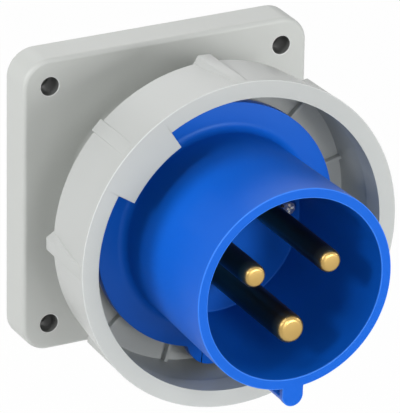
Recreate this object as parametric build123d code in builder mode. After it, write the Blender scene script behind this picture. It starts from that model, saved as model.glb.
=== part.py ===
from build123d import *

import os
from math import cos, radians, sin, sqrt

# Panel inlet of a round pin-and-sleeve power connector, 63 A size, two poles and earth.
# The origin is on the connector's axis, in the plane of the panel that the flange is bolted to.
# X points right seen from the front, Z up and Y into the panel, so a distance d in front of the
# panel is y = -d. An angle on the face is counted clockwise from 12 o'clock, seen from the front.
# Radii are true radii, lengths are millimetres.

# Clearances
running_gap = 0.3
slip_gap = 0.1
seat_gap = 0.2
stop_gap_degrees = 0.45

# Flange: a square tray, open at the back, with a screw boss in each corner
hole_spacing = 87.0
hole_radius = 2.75
hole_mouth_radius = 3.3
hole_ledge = 4.0
boss_radius = 7.0
boss_rib_width = 2.4
flange_margin = 9.7
flange_depth = 13.2
flange_corner_radius = 9.5
flange_edge_radius = 3.0
flange_plate = 3.8
flange_wall = 2.8

# Panel gasket: a ring in a groove around the opening in the panel
gasket_inset = 5.7
gasket_width = 3.0
gasket_depth = 2.4
gasket_land = 1.9
gasket_edge = 0.7

# Neck: the sleeve that stands on the flange, with the shoulder that the locking ring turns against
neck_bore_radius = 32.9
neck_wall = 2.9
neck_root_radius = 2.5
shoulder_front = 39.7
shoulder_thickness = 4.5
shoulder_overhang = 7.7
gusset_count = 12
gusset_thickness = 2.0
gusset_length = 9.0
lip_setback = 9.7
lip_thickness = 3.0

# Rib in the neck's bore that keeps the shroud insert from turning
locating_rib_width = 3.0
locating_rib_height = 1.2

# Shroud insert: hub, disc and the cup around the pins, moulded in one piece
hub_step = 4.1
hub_length = 7.7
spigot_wall = 2.4
disc_overhang = 6.84
disc_thickness = 3.5
lobe_radius = 10.0
lobe_gap = 1.3
lobe_blend_radius = 1.6
shroud_length = 56.8
shroud_root_wall = 3.1
shroud_mouth_wall = 3.5
shroud_root_fillet = 3.0
mouth_edge_radius = 0.5
cup_step = 0.7
cup_draft = 1.1
cup_floor_rise = 1.5
cup_floor_thickness = 4.0
key_width = 7.6
key_height = 6.7

# Hub seal: a flat ring in the back face of the hub
hub_seal_width = 2.4
hub_seal_depth = 1.6
hub_seal_edge = 0.5

# Locking ring: a tapered sleeve with two bayonet lugs inside its front edge
ring_length = 29.1
ring_bore_radius = 52.3
ring_back_wall = 2.8
ring_front_wall = 6.1
ring_relief = 1.0
ring_wall_draft = 0.9
ring_land_length = 9.1
ring_floor_thickness = 2.0
ring_front_edge = 0.4
ring_back_edge = 1.0
collar_wall = 5.7
ring_turn_degrees = 45.0

# Bayonet lugs
lug_gap = 3.3
lug_angles = (-45.0, 135.0)
lug_span_degrees = 30.0
lug_thickness = 8.0
lug_ramp_rise = 2.6

# Grip on the outside of the ring: ribs that run out into the taper, and a flat band over each lug
grip_height = 2.5
grip_base_width = 8.8
grip_crest_width = 4.4
grip_step_degrees = 45.0
grip_runout = 1.2
band_width = 4.8
band_height = 0.7
band_runout = 2.2

# Ribs on the ring's floor
floor_rib_count = 12
floor_rib_first = 16.0
floor_rib_width = 1.3
floor_rib_height = 2.0
floor_rib_bite = 0.5

# Turn stop: a tooth behind the disc, in an arc groove of the ring's collar
stop_tooth_degrees = 10.0
stop_tooth_height = 2.7
stop_groove_depth = 3.0
stop_groove_floor = 0.4

# Contact pins and the terminals behind them
pin_inset = 17.6
line_angle = -65.0
neutral_angle = 65.0
earth_angle = 180.0
line_pin_radius = 4.0
line_pin_setback = 1.2
line_tip_width = 1.6
line_tip_length = 2.4
earth_pin_radius = 5.0
earth_pin_setback = 1.4
earth_tip_width = 2.0
earth_tip_length = 2.6
pin_root_step = 0.6
collar_step = 3.6
pin_collar_thickness = 4.0
barrel_step = 2.6
terminal_back = 34.0
line_wire_radius = 4.2
earth_wire_radius = 4.8
wire_depth = 23.0
barrel_edge = 0.6

# Seals around the pins, in the back of the cup's floor
pin_seal_section = 1.7
pin_seal_pocket = 1.8
pin_seal_edge = 0.4

# Contact carrier: the block that holds the pins from behind
carrier_flange_thickness = 5.0
carrier_core_radius = 12.0
tower_wall = 3.0
tower_setback = 2.0
screw_window_gap = 0.35

# Terminal screws, two in each terminal, driven from the side
terminal_screw_radius = 2.5
terminal_head_radius = 3.7
terminal_head_height = 3.0
terminal_head_lift = 0.4
screws_per_terminal = 2
terminal_screw_first = 17.0
terminal_screw_pitch = 10.0
terminal_slot_width = 0.9
terminal_slot_depth = 1.3

# Screws through the cup's floor, and the threaded inserts that they pull on
insert_screw_inset = 5.2
insert_screw_rise = 2.7
insert_screw_radius = 1.75
insert_head_radius = 3.1
insert_head_height = 2.2
insert_head_edge = 0.9
insert_screw_length = 13.0
cross_width = 0.9
cross_length = 3.4
cross_depth = 1.2
nut_wall = 0.8
nut_length = 8.0

# Sizes across the axis that follow from the ones above
flange_width = hole_spacing + 2 * flange_margin
gasket_radius = flange_width / 2 - gasket_inset
gasket_inner = gasket_radius - gasket_width / 2
gasket_outer = gasket_radius + gasket_width / 2
rear_opening_radius = gasket_inner - gasket_land
rear_land_radius = gasket_outer + gasket_land
neck_radius = neck_bore_radius + neck_wall
shoulder_radius = neck_radius + shoulder_overhang
spigot_radius = neck_bore_radius - running_gap
spigot_bore_radius = spigot_radius - spigot_wall
lip_radius = spigot_bore_radius
carrier_nose_radius = lip_radius - running_gap
carrier_flange_radius = neck_bore_radius - running_gap
cup_floor_radius = spigot_bore_radius + cup_step
mouth_bore_radius = cup_floor_radius + cup_draft
shroud_root_radius = cup_floor_radius + shroud_root_wall
shroud_mouth_radius = mouth_bore_radius + shroud_mouth_wall
key_reach = shroud_mouth_radius + key_height
hub_radius = neck_bore_radius + hub_step
hub_seal_radius = (neck_bore_radius + hub_radius) / 2
disc_radius = hub_radius + disc_overhang
ring_collar_bore = hub_radius + running_gap
collar_radius = ring_collar_bore + collar_wall
ring_back_radius = ring_bore_radius + ring_back_wall
ring_front_radius = ring_bore_radius + ring_front_wall
ring_relief_radius = ring_bore_radius + ring_relief
ring_floor_radius = ring_relief_radius - ring_wall_draft
lobe_centre = ring_bore_radius - lobe_gap - lobe_radius
lug_radius = key_reach + lug_gap
grip_crest_radius = ring_back_radius + grip_height
grip_foot_radius = (ring_relief_radius + ring_back_radius) / 2
pin_circle_radius = neck_bore_radius - pin_inset
insert_screw_x = cup_floor_radius - insert_screw_inset
nut_radius = insert_screw_radius + nut_wall

# Distances in front of the panel that follow from the ones above
tray_ceiling = flange_depth - flange_plate
shoulder_back = shoulder_front - shoulder_thickness
lip_front = shoulder_front - lip_setback
lip_back = lip_front - lip_thickness
spigot_back = lip_front + running_gap
disc_back = shoulder_front + hub_length
disc_front = disc_back + disc_thickness
mouth_front = disc_front + shroud_length
cup_floor = disc_front + cup_floor_rise
floor_back = cup_floor - cup_floor_thickness
ring_back = shoulder_front + running_gap
ring_front = ring_back + ring_length
ring_floor_front = ring_back + ring_floor_thickness
ring_relief_front = ring_front - ring_land_length
ring_collar_front = disc_back - running_gap
stop_groove_back = ring_floor_front + stop_groove_floor
line_pin_tip = mouth_front - line_pin_setback
earth_pin_tip = mouth_front - earth_pin_setback
carrier_front = floor_back - seat_gap
carrier_back = lip_back - carrier_flange_thickness
tower_back = terminal_back + tower_setback

# Radius of the ring's cone at a distance in front of the panel
ring_taper = (ring_front_radius - ring_back_radius) / (ring_front - ring_back)


def cone_radius(distance):
    return ring_back_radius + ring_taper * (distance - ring_back)


# The half plane that outlines are turned from: its first axis is the radius, its second the distance
# in front of the panel
half_plane = Plane(origin=(0, 0, 0), x_dir=(1, 0, 0), z_dir=(0, 0, -1))


def face_plane(distance):
    """The plane across the connector's axis at a distance in front of the panel, seen from the front."""
    return Plane.XZ.offset(distance)


def on_face(radius, clock_degrees):
    """Place on the face at a radius and an angle clockwise from 12 o'clock."""
    return (radius * sin(radians(clock_degrees)), radius * cos(radians(clock_degrees)))


def spoke(clock_degrees):
    """Turn that brings something drawn along the first axis to an angle clockwise from 12 o'clock."""
    return 90 - clock_degrees


def turned(points, centre=(0, 0)):
    """Closed outline of radius and distance, standing beside an axis that passes through a centre."""
    plane = Plane(origin=(centre[0], 0, centre[1]), x_dir=(1, 0, 0), z_dir=(0, 0, -1))
    with BuildSketch(plane) as outline:
        with BuildLine():
            Polyline(*points, close=True)
        make_face()
    return outline.sketch


def axis_at(centre):
    """Axis parallel to the connector's own through a centre on the face."""
    return Axis(origin=(centre[0], 0, centre[1]), direction=(0, 1, 0))


def ring_sector(distance, inner, outer, span_degrees):
    """Part of a flat ring, centred on 12 o'clock."""
    with BuildSketch(face_plane(distance)) as sector:
        with BuildLine():
            start = spoke(span_degrees / 2)
            CenterArc((0, 0), inner, start, span_degrees)
            CenterArc((0, 0), outer, start, span_degrees)
            Line(on_face(inner, span_degrees / 2), on_face(outer, span_degrees / 2))
            Line(on_face(inner, -span_degrees / 2), on_face(outer, -span_degrees / 2))
        make_face()
    return sector.sketch


def terminal_side(place, step):
    """Plane through a pin's axis at one of its terminal screws, facing away from the connector's axis."""
    depth = terminal_screw_first + step * terminal_screw_pitch
    return Plane(origin=(place[0], depth, place[1]), z_dir=(place[0], 0, place[1]))


def write(name, builder):
    """Label a finished piece and write it to its own file."""
    builder.part.label = name
    export_step(builder.part, f"parts/{name}.step")


os.makedirs("parts", exist_ok=True)

# Flange housing: tray, neck and shoulder
with BuildPart() as flange_housing:
    with BuildSketch(Plane.XZ):
        RectangleRounded(flange_width, flange_width, flange_corner_radius)
    extrude(amount=flange_depth)
    fillet(flange_housing.faces().sort_by(Axis.Y)[0].edges(), flange_edge_radius)
    with BuildSketch(Plane.XZ):
        tray_width = flange_width - 2 * flange_wall
        RectangleRounded(tray_width, tray_width, flange_corner_radius - flange_wall)
    extrude(amount=tray_ceiling, mode=Mode.SUBTRACT)

    # Land around the opening, screw bosses, and the ribs that tie the bosses to the land
    with BuildSketch(Plane.XZ):
        Circle(rear_land_radius)
        with GridLocations(hole_spacing, hole_spacing, 2, 2):
            Circle(boss_radius)
        boss_reach = hole_spacing / sqrt(2)
        with PolarLocations(boss_reach / 2, 4, 45):
            Rectangle(boss_reach, boss_rib_width)
        Circle(rear_opening_radius, mode=Mode.SUBTRACT)
    extrude(amount=tray_ceiling)
    with BuildSketch(Plane.XZ):
        Circle(gasket_outer)
        Circle(gasket_inner, mode=Mode.SUBTRACT)
    extrude(amount=gasket_depth, mode=Mode.SUBTRACT)

    # Neck with a rounded root, and the shoulder on gussets
    with BuildSketch(face_plane(tray_ceiling)):
        Circle(neck_radius)
    extrude(amount=shoulder_back - tray_ceiling)
    root = flange_housing.edges().filter_by(GeomType.CIRCLE)
    root = root.filter_by(lambda e: abs(e.radius - neck_radius) < 1e-6)
    fillet(root.sort_by(Axis.Y)[-1], neck_root_radius)
    with BuildSketch(face_plane(shoulder_back)):
        Circle(shoulder_radius)
    extrude(amount=shoulder_thickness)
    with BuildSketch(half_plane) as gusset:
        with BuildLine():
            Polyline(
                (neck_bore_radius, shoulder_back - gusset_length),
                (neck_radius, shoulder_back - gusset_length),
                (shoulder_radius - running_gap, shoulder_back),
                (neck_bore_radius, shoulder_back),
                close=True,
            )
        make_face()
    gusset_web = extrude(gusset.sketch, amount=gusset_thickness / 2, both=True, mode=Mode.PRIVATE)
    for step in range(gusset_count):
        add(gusset_web.rotate(Axis.Y, step * 360 / gusset_count))

    # Bore, with the lip that the insert and the carrier are drawn against
    bore = turned(
        [
            (0, 0),
            (rear_opening_radius, 0),
            (rear_opening_radius, tray_ceiling),
            (neck_bore_radius, tray_ceiling),
            (neck_bore_radius, lip_back),
            (lip_radius, lip_back),
            (lip_radius, lip_front),
            (neck_bore_radius, lip_front),
            (neck_bore_radius, shoulder_front),
            (0, shoulder_front),
        ]
    )
    revolve(bore, axis=Axis.Y, mode=Mode.SUBTRACT)
    with BuildSketch(face_plane(lip_front)):
        with Locations((0, neck_bore_radius + (neck_wall - locating_rib_height) / 2)):
            Rectangle(locating_rib_width, locating_rib_height + neck_wall)
    extrude(amount=shoulder_front - lip_front - running_gap)
    with Locations(face_plane(flange_depth)):
        with GridLocations(hole_spacing, hole_spacing, 2, 2):
            CounterBoreHole(hole_radius, hole_mouth_radius, flange_depth - hole_ledge)
write("flange_housing", flange_housing)

# Panel gasket
with BuildPart() as panel_gasket:
    with BuildSketch(Plane.XZ):
        Circle(gasket_outer - slip_gap)
        Circle(gasket_inner + slip_gap, mode=Mode.SUBTRACT)
    extrude(amount=gasket_depth)
    chamfer(panel_gasket.faces().sort_by(Axis.Y)[-1].edges(), gasket_edge)
write("panel_gasket", panel_gasket)

# Where each pin stands, and its sizes
line_place = on_face(pin_circle_radius, line_angle)
neutral_place = on_face(pin_circle_radius, neutral_angle)
earth_place = on_face(pin_circle_radius, earth_angle)
line_tip = (line_tip_width, line_tip_length)
earth_tip = (earth_tip_width, earth_tip_length)
pins = {
    "line_pin": (line_place, line_pin_radius, line_pin_tip, line_tip, line_wire_radius),
    "neutral_pin": (neutral_place, line_pin_radius, line_pin_tip, line_tip, line_wire_radius),
    "earth_pin": (earth_place, earth_pin_radius, earth_pin_tip, earth_tip, earth_wire_radius),
}
insert_screw_places = [(-insert_screw_x, insert_screw_rise), (insert_screw_x, insert_screw_rise)]

# Shroud insert: spigot, hub, disc and cup turned in one piece, with the key along its underside
with BuildPart() as shroud_insert:
    body = turned(
        [
            (0, floor_back),
            (spigot_bore_radius, floor_back),
            (spigot_bore_radius, spigot_back),
            (spigot_radius, spigot_back),
            (spigot_radius, shoulder_front),
            (hub_radius, shoulder_front),
            (hub_radius, disc_back),
            (shroud_root_radius, disc_back),
            (shroud_root_radius, disc_front),
            (shroud_mouth_radius, mouth_front),
            (mouth_bore_radius, mouth_front),
            (cup_floor_radius, cup_floor),
            (0, cup_floor),
        ]
    )
    revolve(body, axis=Axis.Y)
    rim = shroud_insert.faces().sort_by(Axis.Y)[0].edges()
    fillet(rim.sort_by(SortBy.RADIUS)[0], mouth_edge_radius)
    with BuildSketch(face_plane(disc_back)):
        Circle(disc_radius)
        with Locations((0, -lobe_centre)):
            Circle(lobe_radius)
        Circle(shroud_root_radius - shroud_root_fillet / 2, mode=Mode.SUBTRACT)
    extrude(amount=disc_front - disc_back)
    fillet(shroud_insert.edges().filter_by(Axis.Y).group_by(Axis.Z)[0], lobe_blend_radius)
    root = shroud_insert.edges().filter_by(GeomType.CIRCLE)
    root = root.filter_by(lambda e: abs(e.radius - shroud_root_radius) < 1e-6)
    fillet(root.sort_by(Axis.Y)[0], shroud_root_fillet)

    # Key: a bar with a round edge, as long as the shroud
    key_round = key_width / 2
    with BuildSketch(face_plane(disc_back)):
        with Locations((0, -(shroud_root_radius + key_reach - key_round) / 2)):
            Rectangle(key_width, key_reach - key_round - shroud_root_radius)
        with Locations((0, -(key_reach - key_round))):
            Circle(key_round)
        with Locations((0, -(mouth_bore_radius + shroud_root_radius) / 2 - 1)):
            Rectangle(key_width, shroud_root_radius - mouth_bore_radius + 2)
    extrude(amount=mouth_front - disc_back)
    hollow = turned(
        [
            (0, cup_floor),
            (cup_floor_radius, cup_floor),
            (mouth_bore_radius, mouth_front),
            (0, mouth_front),
        ]
    )
    revolve(hollow, axis=Axis.Y, mode=Mode.SUBTRACT)

    # Tooth of the turn stop, behind the disc
    stop_tooth = ring_sector(
        disc_back, hub_radius - slip_gap, hub_radius + stop_tooth_height, stop_tooth_degrees
    )
    extrude(stop_tooth, amount=-(disc_back - stop_groove_back - running_gap))

    # Slot for the locating rib, and the groove for the hub seal
    slot_height = locating_rib_height + running_gap
    with BuildSketch(face_plane(spigot_back)):
        with Locations((0, spigot_radius)):
            Rectangle(locating_rib_width + 2 * slip_gap, 2 * slot_height)
    extrude(amount=shoulder_front - spigot_back, mode=Mode.SUBTRACT)
    with BuildSketch(face_plane(shoulder_front)):
        Circle(hub_seal_radius + hub_seal_width / 2)
        Circle(hub_seal_radius - hub_seal_width / 2, mode=Mode.SUBTRACT)
    extrude(amount=hub_seal_depth, mode=Mode.SUBTRACT)

    # Holes for the pins, each with a seal pocket behind, and for the two screws
    for place, radius, tip, taper, wire_radius in pins.values():
        root_hole = radius + pin_root_step + slip_gap
        with BuildSketch(face_plane(floor_back)):
            with Locations(place):
                Circle(root_hole)
        extrude(amount=cup_floor_thickness, mode=Mode.SUBTRACT)
        with BuildSketch(face_plane(floor_back)):
            with Locations(place):
                Circle(root_hole + pin_seal_section)
        extrude(amount=pin_seal_pocket, mode=Mode.SUBTRACT)
    with BuildSketch(face_plane(floor_back)):
        with Locations(*insert_screw_places):
            Circle(insert_screw_radius + slip_gap)
    extrude(amount=cup_floor_thickness, mode=Mode.SUBTRACT)
write("shroud_insert", shroud_insert)

# Hub seal
with BuildPart() as hub_seal:
    with BuildSketch(face_plane(shoulder_front)):
        Circle(hub_seal_radius + hub_seal_width / 2 - slip_gap)
        Circle(hub_seal_radius - hub_seal_width / 2 + slip_gap, mode=Mode.SUBTRACT)
    extrude(amount=hub_seal_depth)
    chamfer(hub_seal.faces().sort_by(Axis.Y)[0].edges(), hub_seal_edge)
write("hub_seal", hub_seal)

# One bayonet lug at 12 o'clock, its back face sloped so that turning draws the connectors together
with BuildPart() as lug:
    lug_sector = ring_sector(ring_front, lug_radius, ring_relief_radius, lug_span_degrees)
    extrude(lug_sector, amount=-lug_thickness)
    lug_length = 2 * lug_radius * sin(radians(lug_span_degrees / 2))
    ramp_back = ring_front - lug_thickness + lug_ramp_rise / 2
    ramp_plane = Plane(
        origin=(0, -ramp_back, lug_radius), x_dir=(0, 0, 1), z_dir=(lug_ramp_rise, -lug_length, 0)
    )
    split(bisect_by=ramp_plane, keep=Keep.TOP)

# Locking ring
with BuildPart() as locking_ring:
    sleeve = turned(
        [
            (ring_collar_bore, ring_back),
            (ring_back_radius - ring_back_edge, ring_back),
            (cone_radius(ring_back + ring_back_edge), ring_back + ring_back_edge),
            (cone_radius(ring_front - ring_front_edge), ring_front - ring_front_edge),
            (ring_front_radius - ring_front_edge, ring_front),
            (ring_bore_radius, ring_front),
            (ring_bore_radius, ring_relief_front),
            (ring_relief_radius, ring_relief_front),
            (ring_floor_radius, ring_floor_front),
            (collar_radius, ring_floor_front),
            (collar_radius, ring_collar_front),
            (ring_collar_bore, ring_collar_front),
        ]
    )
    revolve(sleeve, axis=Axis.Y)
    for angle in lug_angles:
        add(lug.part.rotate(Axis.Y, angle))

    # Grip ribs and bands, each a loft that runs out into the cone before the front edge
    rib_end = ring_front - grip_runout
    band_end = ring_front - band_runout
    with BuildPart(mode=Mode.PRIVATE) as grip_rib:
        for distance, crest in ((ring_back, grip_crest_radius), (rib_end, cone_radius(rib_end))):
            with BuildSketch(face_plane(distance)):
                with BuildLine():
                    Polyline(
                        (-grip_base_width / 2, grip_foot_radius),
                        (-grip_crest_width / 2, crest),
                        (grip_crest_width / 2, crest),
                        (grip_base_width / 2, grip_foot_radius),
                        close=True,
                    )
                make_face()
        loft()
    with BuildPart(mode=Mode.PRIVATE) as band:
        band_crest = cone_radius(ring_back) + band_height
        for distance, crest in ((ring_back, band_crest), (band_end, cone_radius(band_end))):
            with BuildSketch(face_plane(distance)):
                with Locations((0, (grip_foot_radius + crest) / 2)):
                    Rectangle(band_width, crest - grip_foot_radius)
        loft()
    for step in range(round(360 / grip_step_degrees)):
        angle = step * grip_step_degrees
        over_lug = any(abs((angle - lug_angle) % 360) < 1 for lug_angle in lug_angles)
        add((band if over_lug else grip_rib).part.rotate(Axis.Y, angle))

    # Radial ribs on the floor, between the collar and the sleeve
    with BuildSketch(face_plane(ring_floor_front)):
        floor_rib_length = ring_floor_radius - collar_radius + 2 * floor_rib_bite
        floor_rib_middle = (ring_floor_radius + collar_radius) / 2
        with PolarLocations(floor_rib_middle, floor_rib_count, spoke(floor_rib_first)):
            Rectangle(floor_rib_length, floor_rib_width)
    extrude(amount=floor_rib_height)

    # Arc groove of the turn stop, open towards the disc
    groove_span = stop_tooth_degrees + ring_turn_degrees + 2 * stop_gap_degrees
    stop_groove = ring_sector(
        stop_groove_back, ring_collar_bore - slip_gap, ring_collar_bore + stop_groove_depth, groove_span
    )
    groove_cut = extrude(stop_groove, amount=ring_collar_front - stop_groove_back, mode=Mode.PRIVATE)
    add(groove_cut.rotate(Axis.Y, ring_turn_degrees / 2), mode=Mode.SUBTRACT)
write("locking_ring", locking_ring)

# Contact pins: pin, root, collar and terminal barrel turned in one piece, with a wire bore behind
for name, (place, radius, tip, taper, wire_radius) in pins.items():
    barrel = radius + barrel_step
    tip_width, tip_length = taper
    with BuildPart() as pin:
        outline = turned(
            [
                (0, -terminal_back),
                (barrel, -terminal_back),
                (barrel, floor_back - pin_collar_thickness),
                (radius + collar_step, floor_back - pin_collar_thickness),
                (radius + collar_step, floor_back),
                (radius + pin_root_step, floor_back),
                (radius + pin_root_step, cup_floor),
                (radius, cup_floor),
                (radius, tip - tip_length),
                (radius - tip_width, tip),
                (0, tip),
            ],
            place,
        )
        revolve(outline, axis=axis_at(place))
        chamfer(pin.faces().sort_by(Axis.Y)[-1].edges(), barrel_edge)
        with BuildSketch(face_plane(-terminal_back)):
            with Locations(place):
                Circle(wire_radius)
        extrude(amount=wire_depth, mode=Mode.SUBTRACT)

        # Threaded holes for the terminal screws, on the side away from the connector's axis
        for step in range(screws_per_terminal):
            with BuildSketch(terminal_side(place, step)):
                Circle(terminal_screw_radius + slip_gap / 2)
            extrude(amount=barrel, mode=Mode.SUBTRACT)
    write(name, pin)

# Seals around the pins
for name, places, radius in (
    ("line_pin_seals", (line_place, neutral_place), line_pin_radius),
    ("earth_pin_seal", (earth_place,), earth_pin_radius),
):
    with BuildPart() as seals:
        for place in places:
            with BuildSketch(face_plane(floor_back)):
                with Locations(place):
                    Circle(radius + pin_root_step + pin_seal_section)
                    Circle(radius + pin_root_step + slip_gap, mode=Mode.SUBTRACT)
            extrude(amount=pin_seal_pocket - slip_gap)
        chamfer(seals.faces().filter_by(Axis.Y).edges(), pin_seal_edge)
    write(name, seals)

# Contact carrier: nose inside the spigot, flange behind the lip, and a tower around each terminal
with BuildPart() as contact_carrier:
    block = turned(
        [
            (0, carrier_back),
            (carrier_flange_radius, carrier_back),
            (carrier_flange_radius, lip_back),
            (carrier_nose_radius, lip_back),
            (carrier_nose_radius, carrier_front),
            (0, carrier_front),
        ]
    )
    revolve(block, axis=Axis.Y)
    with BuildSketch(face_plane(-tower_back)):
        Circle(carrier_core_radius)
        for place, radius, tip, taper, wire_radius in pins.values():
            with Locations(place):
                Circle(radius + barrel_step + tower_wall)
    extrude(amount=tower_back + carrier_back)
    for place, radius, tip, taper, wire_radius in pins.values():
        with BuildSketch(face_plane(-tower_back)):
            with Locations(place):
                Circle(radius + barrel_step + slip_gap)
        extrude(amount=tower_back + carrier_front, mode=Mode.SUBTRACT)
        with BuildSketch(face_plane(floor_back - pin_collar_thickness)):
            with Locations(place):
                Circle(radius + collar_step + slip_gap)
        extrude(amount=pin_collar_thickness, mode=Mode.SUBTRACT)
        for step in range(screws_per_terminal):
            with BuildSketch(terminal_side(place, step)):
                Circle(terminal_head_radius + screw_window_gap)
            extrude(amount=radius + barrel_step + 2 * tower_wall, mode=Mode.SUBTRACT)
    with BuildSketch(face_plane(carrier_front - nut_length)):
        with Locations(*insert_screw_places):
            Circle(nut_radius + slip_gap / 2)
    extrude(amount=nut_length, mode=Mode.SUBTRACT)
    with BuildSketch(face_plane(cup_floor - insert_screw_length - running_gap)):
        with Locations(*insert_screw_places):
            Circle(insert_screw_radius + slip_gap)
    extrude(amount=insert_screw_length, mode=Mode.SUBTRACT)
write("contact_carrier", contact_carrier)

# Terminal screws: slotted cheese heads
with BuildPart() as terminal_screws:
    for place, radius, tip, taper, wire_radius in pins.values():
        for step in range(screws_per_terminal):
            side = terminal_side(place, step)
            screw_end = wire_radius + slip_gap
            head_seat = radius + barrel_step + terminal_head_lift
            with BuildSketch(side.offset(screw_end)):
                Circle(terminal_screw_radius)
            extrude(amount=head_seat - screw_end)
            with BuildSketch(side.offset(head_seat)):
                Circle(terminal_head_radius)
            extrude(amount=terminal_head_height)
            with BuildSketch(side.offset(head_seat + terminal_head_height)):
                Rectangle(2 * terminal_head_radius, terminal_slot_width)
            extrude(amount=-terminal_slot_depth, mode=Mode.SUBTRACT)
write("terminal_screws", terminal_screws)

# Insert screws: pan heads with a cross recess, on the cup's floor
with BuildPart() as insert_screws:
    with BuildSketch(face_plane(cup_floor)):
        with Locations(*insert_screw_places):
            Circle(insert_head_radius)
    extrude(amount=insert_head_height)
    chamfer(insert_screws.edges().group_by(Axis.Y)[0], insert_head_edge)
    with BuildSketch(face_plane(cup_floor)):
        with Locations(*insert_screw_places):
            Circle(insert_screw_radius)
    extrude(amount=-insert_screw_length)
    with BuildSketch(face_plane(cup_floor + insert_head_height)):
        with Locations(*insert_screw_places):
            Rectangle(cross_length, cross_width)
            Rectangle(cross_width, cross_length)
    extrude(amount=-cross_depth, mode=Mode.SUBTRACT)
write("insert_screws", insert_screws)

# Threaded inserts in the carrier's nose
with BuildPart() as threaded_inserts:
    with BuildSketch(face_plane(carrier_front)):
        with Locations(*insert_screw_places):
            Circle(nut_radius)
            Circle(insert_screw_radius + slip_gap / 2, mode=Mode.SUBTRACT)
    extrude(amount=-nut_length)
write("threaded_inserts", threaded_inserts)
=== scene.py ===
"""A panel-mounted power inlet: grey flange and locking ring, blue keyed shroud, brass contact pins.

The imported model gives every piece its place. This script gives the pieces their finished meshes and materials,
and sets the studio around them. Unless a docstring says otherwise, sizes are in millimetres, a distance is how
far something lies in front of the panel, and angles are in degrees.
"""

import logging
import math
from dataclasses import KW_ONLY, dataclass, field, replace
from enum import Enum
from typing import ClassVar

import bmesh
import bpy
from bpy.types import ID, Material, Mesh, Node, NodeOutputs, NodeSocket, NodeTree, Object
from mathutils import Matrix, Vector


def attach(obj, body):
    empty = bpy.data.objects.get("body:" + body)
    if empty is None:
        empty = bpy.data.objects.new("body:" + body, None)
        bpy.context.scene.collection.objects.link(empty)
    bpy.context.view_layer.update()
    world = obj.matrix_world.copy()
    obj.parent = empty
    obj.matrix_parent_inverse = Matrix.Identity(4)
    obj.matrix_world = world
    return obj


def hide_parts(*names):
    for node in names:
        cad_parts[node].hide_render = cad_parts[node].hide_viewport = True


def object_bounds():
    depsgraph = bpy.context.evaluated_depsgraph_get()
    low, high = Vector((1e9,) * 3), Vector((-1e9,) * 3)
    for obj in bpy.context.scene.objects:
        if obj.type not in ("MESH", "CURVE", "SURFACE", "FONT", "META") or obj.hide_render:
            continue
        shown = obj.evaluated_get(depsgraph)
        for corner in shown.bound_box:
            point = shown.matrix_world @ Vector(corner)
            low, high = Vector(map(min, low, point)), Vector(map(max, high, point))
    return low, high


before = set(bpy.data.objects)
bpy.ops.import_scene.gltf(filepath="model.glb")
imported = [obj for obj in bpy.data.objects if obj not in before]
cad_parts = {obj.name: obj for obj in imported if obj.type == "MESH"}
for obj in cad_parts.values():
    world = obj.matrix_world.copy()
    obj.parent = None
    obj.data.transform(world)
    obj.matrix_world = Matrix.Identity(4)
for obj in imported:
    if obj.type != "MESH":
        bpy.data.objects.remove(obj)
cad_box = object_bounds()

log = logging.getLogger("panel_inlet")

Colour = tuple[float, float, float]
Outline = list[tuple[float, float]]  # closed row of (x, z) places, clockwise from 12 o'clock seen from the front

MM = 0.001  # metres in a millimetre
NEAR = 1e-6  # metres within which two places count as one
STITCH = 1e-7  # metres within which a skin's doubled places lie
ROUND_OFF = 1e-9  # slack for sums that should come out even
CREASE = math.radians(34.0)  # angle between two faces from which their edge is shaded sharp
KEEP_ALL = 99  # more than the number of copies around the axis, so that none is left out
WHITE: Colour = (1.0, 1.0, 1.0)


class Body(Enum):
    """The two rigid bodies of the inlet."""

    INLET = "inlet"
    RING = "ring"


class Shading(Enum):
    """How the faces beside a rounded edge are shaded."""

    HARDENED = "by the rounding's own normals"
    WEIGHTED = "by the largest faces, which stay flat"
    SMOOTH = "as the mesh is"


# Node helpers


@dataclass
class Graph:
    """A node tree with short calls for adding and joining nodes."""

    tree: NodeTree

    def add(self, kind: str, inputs: dict[str | int, object] | None = None, **settings: object) -> Node:
        """Adds a node.

        Args:
            kind: Blender's type name of the node.
            inputs: What the node's inputs are fed with.
            settings: Properties of the node, such as operation or mode.

        Returns:
            The new node.
        """
        node = self.tree.nodes.new(kind)
        for name, value in settings.items():
            setattr(node, name, value)
        self.feed(node, inputs or {})
        return node

    def feed(self, node: Node, inputs: dict[str | int, object]) -> None:
        """Feeds the inputs of a node.

        Args:
            node: The node.
            inputs: For the name or number of each input, the socket to link to it or the value to set it to.
        """
        for name, value in inputs.items():
            if isinstance(value, NodeSocket):
                self.tree.links.new(value, node.inputs[name])
            else:
                node.inputs[name].default_value = value

    def math(self, operation: str, *values: object) -> NodeSocket:
        """Adds a Math node over numbers or sockets, and returns its output."""
        return self.add("ShaderNodeMath", dict(enumerate(values)), operation=operation).outputs[0]

    def blend(self, factor: object, low: object, high: object) -> NodeSocket:
        """Mixes two colours or sockets by a factor from 0, all low, to 1, all high, and returns the result."""
        inputs = {0: factor, 6: low, 7: high}  # the node's factor and its two colours
        return self.add("ShaderNodeMix", inputs, data_type="RGBA").outputs[2]

    def noise(self, place: NodeSocket, scale: NodeSocket, detail: float) -> NodeSocket:
        """Adds a Noise Texture and returns its value from 0 to 1."""
        inputs = {"Vector": place, "Scale": scale, "Detail": detail}
        return self.add("ShaderNodeTexNoise", inputs).outputs["Fac"]

    def place(self) -> Node:
        """Returns a node whose outputs X, Y and Z are the surface's place in the piece, in metres."""
        return self.add("ShaderNodeSeparateXYZ", {0: self.add("ShaderNodeTexCoord").outputs["Object"]})


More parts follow.
